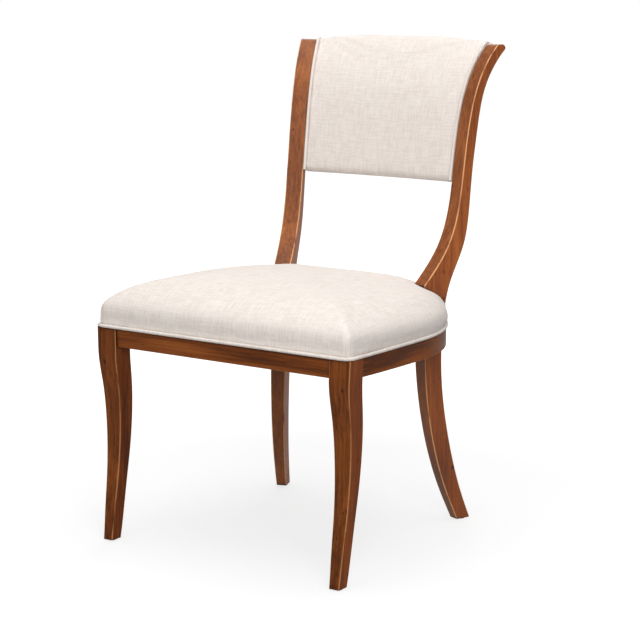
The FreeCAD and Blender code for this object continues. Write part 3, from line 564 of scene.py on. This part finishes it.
# %% Stuff the seat and the back
SEAT_SWELL = 3.0 * MM
UNDER_HEIGHT = 15 * MM
UNDER_DEPTH = 6 * MM
BACK_SWELL = 2.0 * MM
SEAT_GAP = 0.9 * MM
BACK_GAP = 0.3 * MM
POSTS = ["rear_post_right", "rear_post_left"]
END_BAND = 9 * MM
TACK_BAND = 3 * MM
SLICE = 8 * MM
SEAT_FREE_ABOVE = 4 * MM
BACK_FREE_ABOVE = 6 * MM
SEAT_SMOOTHING = 3
BACK_SMOOTHING = 4
welt_low, welt_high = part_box("seat_welt")
back_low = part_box("back_front_cover")[0]


def seat_tacks(points):
    return points[:, 2] < welt_high.z + TACK_BAND


def back_tacks(points):
    """The pad's two ends, beside the posts, and its bottom, where the cover wraps round the frame."""
    bands = np.round(points[:, 2] / SLICE).astype(int)
    widest = {band: np.abs(points[bands == band, 0]).max() for band in np.unique(bands)}
    edge = np.array([widest[band] for band in bands])
    return (np.abs(points[:, 0]) > edge - END_BAND) | (points[:, 2] < back_low.z + TACK_BAND)


stuff(seat, seat_tacks, welt_high.z + SEAT_FREE_ABOVE, SEAT_SWELL)
stuff(back, back_tacks, back_low.z + BACK_FREE_ABOVE, BACK_SWELL)
smooth(seat, SEAT_SMOOTHING)
smooth(back, BACK_SMOOTHING)
round_under(back, back_low.z, UNDER_HEIGHT, UNDER_DEPTH)
lay_against(seat, POSTS + ["front_leg_right", "front_leg_left"], SEAT_GAP)
lay_against(back, POSTS, BACK_GAP)

# %% [markdown]
# ## Cloth coordinates
# The threads run with the cloth. A seat cover is cut square: its threads run across and front to back
# on top, and turn straight down at each side. So each face takes its own place from above, plus how far
# it hangs over the edge, in the direction of its side. The back's cover runs up the front and over.

# %% UV maps in metres
SEAT_CROWN = 42 * MM
SEAT_ROUND_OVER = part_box("seat_cover")[1].z - SEAT_CROWN


def map_threads(pad, unroll):
    """Writes a UV map; unroll(point, normal) gives the place on the cloth in metres."""
    mesh = pad.data
    layer = mesh.uv_layers.new(name="threads")
    places = np.empty(len(mesh.loops) * 2)
    for polygon in mesh.polygons:
        for loop in polygon.loop_indices:
            point = mesh.vertices[mesh.loops[loop].vertex_index].co
            places[2 * loop:2 * loop + 2] = unroll(point, polygon.normal)
    layer.data.foreach_set("uv", places)


def seat_cloth_place(point, normal):
    over = max(0.0, SEAT_ROUND_OVER - point.z)
    if abs(normal.x) > abs(normal.y):
        return point.x + math.copysign(over, normal.x), point.y
    return point.x, point.y + math.copysign(over, normal.y)


def back_cloth_place(point, normal):
    if normal.y > 0.2:
        return point.x, point.z
    return point.x, point.z + point.y


map_threads(seat, seat_cloth_place)
map_threads(back, back_cloth_place)
print("threads mapped on", seat.name, "and", back.name)

# %% [markdown]
# ## Things that follow a line
# Piping, stitches and staples all follow a line. Geometry Nodes suit them: one tree sweeps a round cord
# along a path, another sets a small shape at even steps. Each tree has named inputs for its sizes. The
# result is turned into a plain mesh, because the export can't carry a live tree.

# %% Node trees for lines
def new_tree(name, sizes):
    """A geometry tree with its group input and output, and named inputs for its sizes."""
    tree = bpy.data.node_groups.new(name, "GeometryNodeTree")
    tree.interface.new_socket("Geometry", in_out="INPUT", socket_type="NodeSocketGeometry")
    for label, value in sizes.items():
        kind = "NodeSocketInt" if isinstance(value, int) else "NodeSocketFloat"
        tree.interface.new_socket(label, in_out="INPUT", socket_type=kind).default_value = value
    tree.interface.new_socket("Finish", in_out="INPUT", socket_type="NodeSocketMaterial")
    tree.interface.new_socket("Geometry", in_out="OUTPUT", socket_type="NodeSocketGeometry")
    return tree, tree.nodes.new("NodeGroupInput"), tree.nodes.new("NodeGroupOutput")


def with_material(tree, start):
    """The node that gives the result its material, which is one of the tree's inputs."""
    last = tree.nodes.new("GeometryNodeSetMaterial")
    tree.links.new(start.outputs["Finish"], last.inputs["Material"])
    return last


def chain(tree, *steps):
    """Links a row of nodes by their first geometry sockets and returns the last."""
    for before, after in zip(steps, steps[1:]):
        source = next(s for s in before.outputs if s.type == "GEOMETRY")
        target = next(s for s in after.inputs if s.type == "GEOMETRY")
        tree.links.new(source, target)
    return steps[-1]


def grown(base, tree, sizes, material):
    """Runs a tree on an object, with its inputs set by name, and keeps the plain mesh."""
    modifier = base.modifiers.new("grow", "NODES")
    modifier.node_group = tree
    for item in tree.interface.items_tree:
        if item.in_out == "INPUT" and item.name in sizes:
            modifier[item.identifier] = sizes[item.name]
        if item.in_out == "INPUT" and item.name == "Finish":
            modifier[item.identifier] = material
    base.data = evaluated_mesh(base)
    base.modifiers.clear()
    return base


def line_object(name, points, closed=False):
    mesh = bpy.data.meshes.new(name)
    count = len(points)
    edges = [(i, i + 1) for i in range(count - 1)] + ([(count - 1, 0)] if closed else [])
    mesh.from_pydata([tuple(p) for p in points], edges, [])
    return new_object(name, mesh)


def cord_tree():
    tree, start, end = new_tree("cord", {"Radius": 3 * MM, "Sides": 14})
    curve = tree.nodes.new("GeometryNodeMeshToCurve")
    ring = tree.nodes.new("GeometryNodeCurvePrimitiveCircle")
    sweep = tree.nodes.new("GeometryNodeCurveToMesh")
    soft = tree.nodes.new("GeometryNodeSetShadeSmooth")
    real = tree.nodes.new("GeometryNodeRealizeInstances")
    sweep.inputs["Fill Caps"].default_value = True
    tree.links.new(start.outputs["Radius"], ring.inputs["Radius"])
    tree.links.new(start.outputs["Sides"], ring.inputs["Resolution"])
    tree.links.new(ring.outputs[0], sweep.inputs["Profile Curve"])
    chain(tree, start, curve, sweep, soft, real, with_material(tree, start), end)
    return tree


def stitch_tree():
    tree, start, end = new_tree("stitches", {"Pitch": 4 * MM, "Length": 1.6 * MM,
                                             "Thickness": 0.35 * MM})
    curve = tree.nodes.new("GeometryNodeMeshToCurve")
    steps = tree.nodes.new("GeometryNodeCurveToPoints")
    steps.mode = "LENGTH"
    thread = tree.nodes.new("GeometryNodeMeshUVSphere")
    thread.inputs["Segments"].default_value = 8
    thread.inputs["Rings"].default_value = 5
    thread.inputs["Radius"].default_value = 1.0
    size = tree.nodes.new("ShaderNodeCombineXYZ")
    place = tree.nodes.new("GeometryNodeInstanceOnPoints")
    real = tree.nodes.new("GeometryNodeRealizeInstances")
    soft = tree.nodes.new("GeometryNodeSetShadeSmooth")
    tree.links.new(start.outputs["Pitch"], steps.inputs["Length"])
    for socket, label in zip(size.inputs, ("Thickness", "Thickness", "Length")):
        tree.links.new(start.outputs[label], socket)
    tree.links.new(thread.outputs[0], place.inputs["Instance"])
    tree.links.new(steps.outputs["Rotation"], place.inputs["Rotation"])
    tree.links.new(size.outputs[0], place.inputs["Scale"])
    chain(tree, start, curve, steps, place, soft, real, with_material(tree, start), end)
    return tree


CORD = cord_tree()
STITCHES = stitch_tree()
print("trees", CORD.name, STITCHES.name)

# %% [markdown]
# ## Piping
# A welt is a cord in a strip of the same linen, sewn into the seam. One runs round the seat on top of
# the rails, and one up each side of the back and over its roll. Their lines are read from the packed
# model: a walker steps along inside the solid cord and centres itself between its walls at each step.
# The seat's line is walked on one half and mirrored. Each back cord ends tucked down behind the roll.

# %% Walk along a cord
WALK_STEP = 4 * MM
WALK_LIMIT = 900
SEAT_WELT_RADIUS = 3.2 * MM
BACK_WELT_RADIUS = 2.9 * MM


def walk(surface, start, way, radius):
    """The centre line of a solid cord from a point inside it, as evenly spaced points."""
    line = [start]
    for _ in range(WALK_LIMIT):
        spot = line[-1] + way * WALK_STEP
        side = way.orthogonal().normalized()
        for direction in (side, way.cross(side), side):
            ahead, behind = surface.ray_cast(spot, direction), surface.ray_cast(spot, -direction)
            if ahead[0] is None or behind[0] is None or ahead[3] + behind[3] > 3 * radius:
                return line
            spot = (ahead[0] + behind[0]) / 2
        way = (spot - line[-1]).normalized()
        line.append(spot)
        if len(line) > 20 and (spot - line[0]).length < WALK_STEP:
            return line[:-1]
    return line


def smoothed(points, closed, rounds=4):
    """A line whose points are averaged with their neighbours; open ends stay."""
    points = np.array(points)
    for _ in range(rounds):
        even = (np.roll(points, 1, 0) + 2 * points + np.roll(points, -1, 0)) / 4
        if not closed:
            even[0], even[-1] = points[0], points[-1]
        points = even
    return points


# %% Walk the seat's and the back's piping
surface = tree_of(merged_copy("seat_welt"))
middle = (welt_low + welt_high) / 2
outer = surface.ray_cast(Vector((0, welt_low.y - 50 * MM, middle.z)), Vector((0, 1, 0)))[0]
half = walk(surface, outer + Vector((0, SEAT_WELT_RADIUS, 0)), Vector((1, 0, 0)), SEAT_WELT_RADIUS)
behind = next(i for i, p in enumerate(half) if i > 10 and p.x < WALK_STEP / 2)
half = half[1:behind]
seat_line = half + [Vector((-p.x, p.y, p.z)) for p in reversed(half)]
print("seat welt", len(seat_line), "points round the seat")

FOOT_BAND = 1.5 * MM
FIRST_RISE = 2 * MM
TUCK_STEPS = [(0, 3.5, -2.5), (0, 6, -7)]
back_lines = {}
for hand in ("right", "left"):
    mesh = merged_copy("back_welt_" + hand)
    points = points_of(mesh)
    foot = points[points[:, 2] < points[:, 2].min() + FOOT_BAND].mean(axis=0)
    inside = Vector(foot) + Vector((0, 0, FIRST_RISE))
    line = walk(tree_of(mesh), inside, Vector((0, 0, 1)), BACK_WELT_RADIUS)
    last = line[-4]
    back_lines[hand] = line[:-3] + [last + Vector(step) * MM for step in TUCK_STEPS]
    print("back welt", hand, len(line), "points, ends at", [round(v, 3) for v in line[-1]])

# %% Sweep the piping
WELT_SIDES = 14
seat_piping = grown(line_object("seat_piping", smoothed(seat_line, True), True), CORD,
                    {"Radius": SEAT_WELT_RADIUS, "Sides": WELT_SIDES}, welt_cloth)
back_piping = {}
for hand, line in back_lines.items():
    base = line_object("back_piping_" + hand, smoothed(line, False))
    back_piping[hand] = grown(base, CORD, {"Radius": BACK_WELT_RADIUS, "Sides": WELT_SIDES}, welt_cloth)
print("piping corners", [len(p.data.vertices) for p in (seat_piping, *back_piping.values())])

# %% [markdown]
# ## Corner seams
# The seat cover is boxed at its two front corners: the cloth is cut, turned in and sewn, which leaves a
# short upright seam from the piping up to where the top rounds over. The skin is drawn in along it, the
# turned edge stands in the groove as a thin ridge, and small stitches lie beside it.

# %% Draw the corners in and sew them
SEAM_HEIGHT = 36 * MM
SEAM_REACH = 6 * MM
SEAM_DEPTH = 2.2 * MM
RIDGE_RADIUS = 1.1 * MM
CORNER_TURN = math.radians(38)
CORNER_RUN_IN = 7 * MM
CORNER_SEARCH = 24 * MM
SEAM_START = 3 * MM
SEAM_STEPS = 18
RIDGE_LIFT = 0.7 * RIDGE_RADIUS
RIDGE_SIDES = 10
STITCH_ASIDE = 2.6 * MM
STITCH_LIFT = 0.1 * MM
STITCH_SIZES = {"Pitch": 3.2 * MM, "Length": 1.1 * MM, "Thickness": 0.4 * MM}


def corner_line(side, lift, aside=0.0):
    """Points up a front corner of the cushion, as seen from outside, lifted off the cloth."""
    way = Vector((-side * math.sin(CORNER_TURN), math.cos(CORNER_TURN), 0))
    across = Vector((way.y, -way.x, 0)) * aside
    surface = tree_of(seat.data)
    corner_x = max(abs(p[0]) for p in points_of(seat.data) if p[1] < welt_low.y + CORNER_SEARCH)
    found = []
    for step in range(SEAM_STEPS):
        share = step / (SEAM_STEPS - 1)
        height = welt_high.z - SEAM_START + SEAM_HEIGHT * share
        corner = Vector((side * corner_x, welt_low.y, height))
        corner += Vector((-side, 1, 0)) * CORNER_RUN_IN + across
        spot = surface.ray_cast(corner - way * 0.2, way)[0]
        if spot is not None:
            found.append(spot - way * (lift - 2 * RIDGE_RADIUS * share ** 3))
    return found


seams = []
for hand, side in (("right", 1), ("left", -1)):
    spots = np.array([tuple(p) for p in corner_line(side, 0.0)])
    points = points_of(seat.data)
    inward = np.array([-side * math.sin(CORNER_TURN), math.cos(CORNER_TURN), 0])
    for i in np.flatnonzero(points[:, 1] < spots[:, 1].max() + SEAM_REACH):
        away = np.linalg.norm(spots - points[i], axis=1).min()
        if away < SEAM_REACH:
            points[i] += inward * SEAM_DEPTH * (1 - away / SEAM_REACH) ** 2
    set_points(seat.data, points)
    ridge = line_object("seat_seam_" + hand, smoothed(corner_line(side, RIDGE_LIFT), False))
    seams.append(grown(ridge, CORD, {"Radius": RIDGE_RADIUS, "Sides": RIDGE_SIDES}, welt_cloth))
    thread = line_object("seat_stitches_" + hand,
                         smoothed(corner_line(side, STITCH_LIFT, STITCH_ASIDE), False))
    seams.append(grown(thread, STITCHES, STITCH_SIZES, welt_cloth))
    print("corner seam", hand, "from", [round(float(v), 3) for v in spots[0]])

# %% [markdown]
# ## Underneath
# A dust cover of black non-woven cloth closes the frame from below, held by a row of wire staples.
# Jute webbing carries the seat. The feet stand on nylon glides, and zinc screws hold the blocks. None
# of this shows in the picture, so it is a guess. The cover, webbing and screws keep the model's shapes.

# %% Finishes underneath
def plain_finish(name, pale, dark, scale, roughness, depth, **constants):
    """Two tones in a fine noise, with the same noise as bump."""
    finish = Finish(name)
    grain = finish.noise(scale, 4.0)
    colour = finish.mix(finish.window(grain, 0.35, 0.65), dark, pale)
    rough = finish.window(grain, 0.3, 0.7, roughness, roughness + 0.1)
    return finish.finish(colour, rough, finish.bump(grain, depth), **constants)


dust_cloth = plain_finish("dust_cloth", (0.022, 0.022, 0.024), (0.009, 0.009, 0.010),
                          (420, 420, 420), 0.85, 0.15 * MM, specular_ior_level=0.25)
jute = plain_finish("jute", (0.42, 0.31, 0.19), (0.20, 0.13, 0.07), (500, 500, 200), 0.85, 0.4 * MM)
zinc = plain_finish("zinc", (0.62, 0.62, 0.60), (0.46, 0.46, 0.45), (900, 900, 90), 0.3, 0.03 * MM,
                    metallic=1.0)
nylon = plain_finish("nylon", (0.016, 0.014, 0.012), (0.010, 0.009, 0.008), (260, 260, 260), 0.42,
                     0.04 * MM)
paint(nodes["dust_cover"], dust_cloth)
for name in ("webbing_front_to_back", "webbing_side_to_side"):
    paint(nodes[name], jute)
for name in ("corner_block_screws", "seat_screws", "post_screws"):
    paint(nodes[name], zinc)
paint(nodes["foot_glides"], nylon)
bare = [name for name in nodes if not nodes[name].data.materials]
print("finished underneath; without a finish", bare)

# %% [markdown]
# ## Staples
# A staple is a short wire with its crown showing. One tree sweeps the wire and sets it at even steps
# along a line. The line is the outline of the dust cover, drawn in from its edge.


# %% Staple tree
STAPLE_SIZES = {"Pitch": 32 * MM, "Crown": 10 * MM, "Wire": 0.5 * MM}


def staple_tree():
    tree, start, end = new_tree("staples", STAPLE_SIZES)
    curve = tree.nodes.new("GeometryNodeMeshToCurve")
    steps = tree.nodes.new("GeometryNodeCurveToPoints")
    steps.mode = "LENGTH"
    bow = tree.nodes.new("GeometryNodeCurveQuadraticBezier")
    bow.inputs["Resolution"].default_value = 7
    ring = tree.nodes.new("GeometryNodeCurvePrimitiveCircle")
    ring.inputs["Resolution"].default_value = 8
    sweep = tree.nodes.new("GeometryNodeCurveToMesh")
    sweep.inputs["Fill Caps"].default_value = True
    place = tree.nodes.new("GeometryNodeInstanceOnPoints")
    real = tree.nodes.new("GeometryNodeRealizeInstances")
    soft = tree.nodes.new("GeometryNodeSetShadeSmooth")
    for socket, share in (("Start", -0.5), ("End", 0.5)):
        factor = tree.nodes.new("ShaderNodeMath")
        factor.operation = "MULTIPLY"
        factor.inputs[1].default_value = share
        place_at = tree.nodes.new("ShaderNodeCombineXYZ")
        tree.links.new(start.outputs["Crown"], factor.inputs[0])
        tree.links.new(factor.outputs[0], place_at.inputs["Z"])
        tree.links.new(place_at.outputs[0], bow.inputs[socket])
    bow.inputs["Middle"].default_value = (0, 0, 0)
    tree.links.new(start.outputs["Wire"], ring.inputs["Radius"])
    tree.links.new(bow.outputs[0], sweep.inputs["Curve"])
    tree.links.new(ring.outputs[0], sweep.inputs["Profile Curve"])
    tree.links.new(start.outputs["Pitch"], steps.inputs["Length"])
    tree.links.new(steps.outputs["Rotation"], place.inputs["Rotation"])
    tree.links.new(sweep.outputs[0], place.inputs["Instance"])
    chain(tree, start, curve, steps, place, soft, real, with_material(tree, start), end)
    return tree


# %% Staple the dust cover
STAPLE_INSET = 9.1 * MM
hull = bmesh.new()
for point in points_of(nodes["dust_cover"].data):
    hull.verts.new((point[0], point[1], 0.0))
ring = bmesh.ops.convex_hull(hull, input=hull.verts)["geom"]
rim = {tuple(round(v, 5) for v in item.co) for item in ring if isinstance(item, bmesh.types.BMVert)}
hull.free()
dust_low, dust_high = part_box("dust_cover")
centre = (dust_low + dust_high) / 2
rim = sorted(rim, key=lambda p: math.atan2(p[1] - centre.y, p[0] - centre.x))
inset = [Vector((x, y, dust_low.z)) + Vector((centre.x - x, centre.y - y, 0)).normalized() * STAPLE_INSET
         for x, y, _ in rim]
staples = grown(line_object("dust_cover_staples", inset, True), staple_tree(), STAPLE_SIZES, zinc)
print("staples corners", len(staples.data.vertices))

# %% [markdown]
# ## The studio
# The picture stands on a plain white ground with a soft grey shadow. The floor takes real light, so the
# shadow is real, and a glow that only the camera and reflections see lifts its colour to white away
# from the chair.

# %% Floor
FLOOR_HALF = 9.0
CLEAR_FROM = 0.55
CLEAR_BY = 1.5
GLOW_NEAR = 0.72
GLOW_FAR = 1.0
FLOOR_GREY = (0.30, 0.30, 0.30)
floor_finish = Finish("pale_floor")
floor_mesh = bpy.data.meshes.new("floor")
floor_mesh.from_pydata([(-FLOOR_HALF, -FLOOR_HALF, 0), (FLOOR_HALF, -FLOOR_HALF, 0),
                        (FLOOR_HALF, FLOOR_HALF, 0), (-FLOOR_HALF, FLOOR_HALF, 0)], [], [(0, 1, 2, 3)])
floor = new_object("floor", floor_mesh)
floor.data.materials.append(floor_finish.finish(FLOOR_GREY, 0.9, specular_ior_level=0.0))
far = floor_finish.add("ShaderNodeVectorMath", operation="LENGTH")
floor_finish.put(far.inputs[0], floor_finish.coordinates.outputs["Object"])
glow = floor_finish.add("ShaderNodeEmission")
glow.inputs["Color"].default_value = (1, 1, 1, 1)
floor_finish.put(glow.inputs["Strength"],
                 floor_finish.window(far.outputs["Value"], CLEAR_FROM, CLEAR_BY, GLOW_NEAR, GLOW_FAR))
seen = floor_finish.add("ShaderNodeLightPath")
both = floor_finish.add("ShaderNodeAddShader")
chosen = floor_finish.add("ShaderNodeMixShader")
looked = floor_finish.sum("MAXIMUM", seen.outputs["Is Camera Ray"], seen.outputs["Is Glossy Ray"])
looked = floor_finish.sum("MAXIMUM", looked, seen.outputs["Is Transmission Ray"])
floor_finish.put(both.inputs[0], floor_finish.skin.outputs[0])
floor_finish.put(both.inputs[1], glow.outputs[0])
floor_finish.put(chosen.inputs[0], looked)
floor_finish.put(chosen.inputs[1], floor_finish.skin.outputs[0])
floor_finish.put(chosen.inputs[2], both.outputs[0])
output = next(n for n in floor_finish.tree.nodes if n.type == "OUTPUT_MATERIAL")
floor_finish.put(output.inputs[0], chosen.outputs[0])
print("floor", FLOOR_HALF * 2, "m wide")

# %% [markdown]
# ## The world
# The world is white to the camera alone. Every other ray, reflections too, meets a pale grey that fills
# the shadows and doesn't wash out the wood.

# %% World
AMBIENT = 0.34
world = bpy.data.worlds.new("studio")
scene.world = world
world.use_nodes = True
tree = world.node_tree
tree.nodes.clear()
ambient = tree.nodes.new("ShaderNodeBackground")
ambient.inputs[0].default_value = (1, 1, 1, 1)
ambient.inputs[1].default_value = AMBIENT
white = tree.nodes.new("ShaderNodeBackground")
white.inputs[0].default_value = (1, 1, 1, 1)
white.inputs[1].default_value = 1.0
path = tree.nodes.new("ShaderNodeLightPath")
pick = tree.nodes.new("ShaderNodeMixShader")
world_output = tree.nodes.new("ShaderNodeOutputWorld")
tree.links.new(path.outputs["Is Camera Ray"], pick.inputs[0])
tree.links.new(ambient.outputs[0], pick.inputs[1])
tree.links.new(white.outputs[0], pick.inputs[2])
tree.links.new(pick.outputs[0], world_output.inputs[0])
print("ambient", AMBIENT)

# %% [markdown]
# ## Lamps
# Soft boxes light the chair: a wide one overhead for the seat's top, a key light in front to the right,
# which makes the outer side of the right-hand post the brightest wood, one straight in front, which the
# satin fronts of the posts reflect, and a weak one behind, so that the rear isn't left grey.

# %% Soft boxes
def softbox(name, place, target, size, watts):
    lamp = bpy.data.lights.new(name, "AREA")
    lamp.shape = "RECTANGLE"
    lamp.size, lamp.size_y = size
    lamp.energy = watts
    holder = bpy.data.objects.new(name, lamp)
    scene.collection.objects.link(holder)
    holder.location = place
    holder.rotation_euler = (Vector(target) - Vector(place)).to_track_quat("-Z", "Y").to_euler()
    return holder


overhead = softbox("overhead", (0.1, -0.2, 3.2), (0, 0, 0.4), (2.6, 2.6), 54)
key = softbox("key", (2.3, -2.6, 1.9), (0, 0, 0.55), (1.6, 1.8), 60)
front = softbox("front", (-0.1, -3.3, 1.7), (0, 0, 0.6), (1.6, 1.6), 13)
behind = softbox("behind", (-1.6, 3.0, 2.0), (0, 0, 0.6), (1.8, 1.8), 22)
print("lamps", [lamp.data.energy for lamp in (overhead, key, front, behind)])

# %% [markdown]
# ## Every piece gets its place
# Each new piece rides on the chair's one body and stands for the soft solids it replaces, which are
# hidden.
# The two cushions are painted with the linen.

# %% Ride and replace
for pad, replaced in ((seat, ["seat_cover", "seat_foam"]),
                      (back, ["back_front_cover", "back_rear_cover", "back_front_padding",
                              "back_rear_padding"])):
    paint(pad, linen_cloth)
    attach(pad, "root")
    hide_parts(*replaced)
for piece, replaced in ((seat_piping, "seat_welt"), (back_piping["right"], "back_welt_right"),
                        (back_piping["left"], "back_welt_left")):
    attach(piece, "root")
    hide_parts(replaced)
for piece in seams:
    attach(piece, "root")
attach(staples, "root")
print("new pieces", 6 + len(seams))
